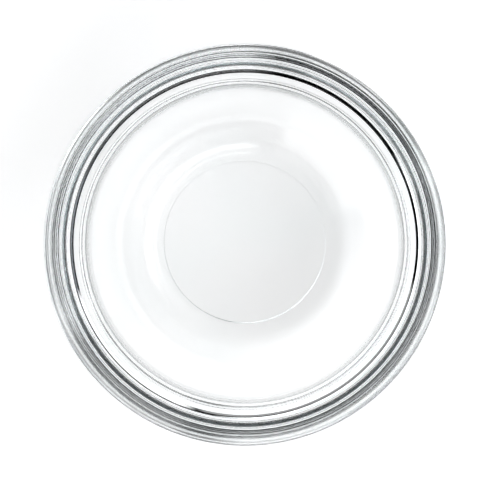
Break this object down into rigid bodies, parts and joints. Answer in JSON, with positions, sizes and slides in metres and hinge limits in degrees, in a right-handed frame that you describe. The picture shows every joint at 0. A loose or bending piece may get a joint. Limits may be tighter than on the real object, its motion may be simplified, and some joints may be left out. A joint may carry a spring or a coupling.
{
  "type": "crystallizing dish",
  "caption": "Round clear glass dish with a beaded rim, a stacking ledge, a bowed wall and a flat base, for crystallizing, evaporating or mixing.",
  "frame": {"origin": "on the axis, in the plane that the dish stands on", "axes": "+Z along the axis, out of the mouth; the dish is round about Z, so X and Y are free"},
  "size_m": [0.192, 0.192, 0.086],
  "materials": {
    "clear_glass": "fire-polished clear pressed glass"
  },
  "bodies": {
    "root": {"dish": "clear_glass"}
  },
  "joints": []
}
